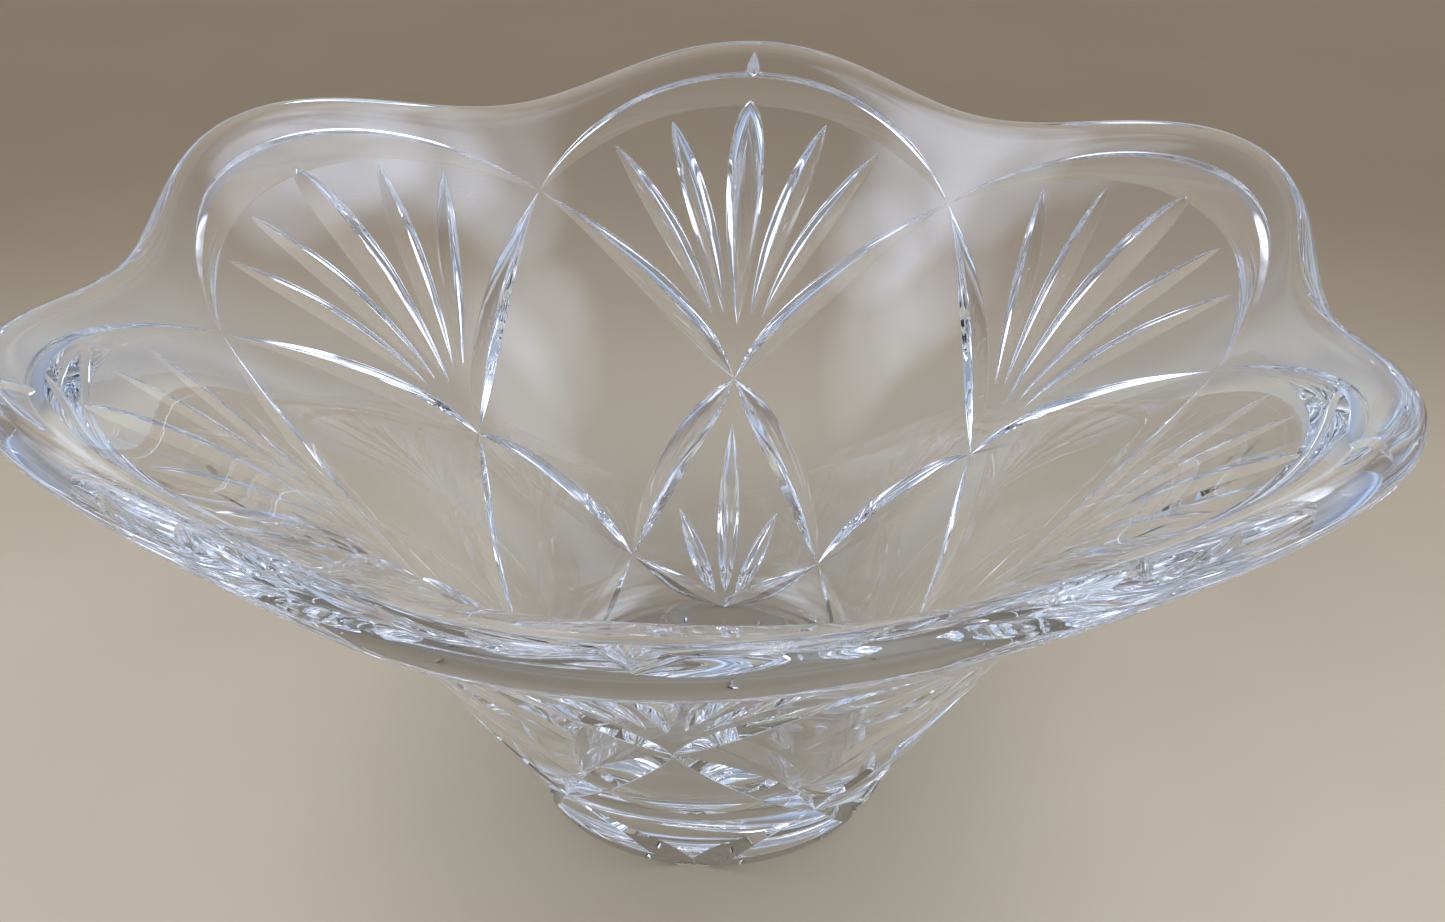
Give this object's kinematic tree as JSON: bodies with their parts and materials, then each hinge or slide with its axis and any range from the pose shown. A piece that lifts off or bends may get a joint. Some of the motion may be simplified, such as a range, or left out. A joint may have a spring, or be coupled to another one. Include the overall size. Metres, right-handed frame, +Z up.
{
  "type": "punch bowl",
  "caption": "Heavy cut crystal bowl with a flared scalloped rim, fan and diamond mitre cuts outside and a thick round foot.",
  "frame": {"origin": "centre of the circle that the foot rests on, at the table's height", "axes": "+Z up along the bowl's axis; a lobe of the rim lies along +Y and along -Y, and a valley of the rim along +X and along -X"},
  "size_m": [0.2738, 0.2986, 0.1408],
  "materials": {
    "crystal": "clear colourless lead crystal, fire-polished outside and inside, with polished mitre cuts"
  },
  "bodies": {
    "root": {"bowl": "crystal", "foot": "crystal"}
  },
  "joints": []
}
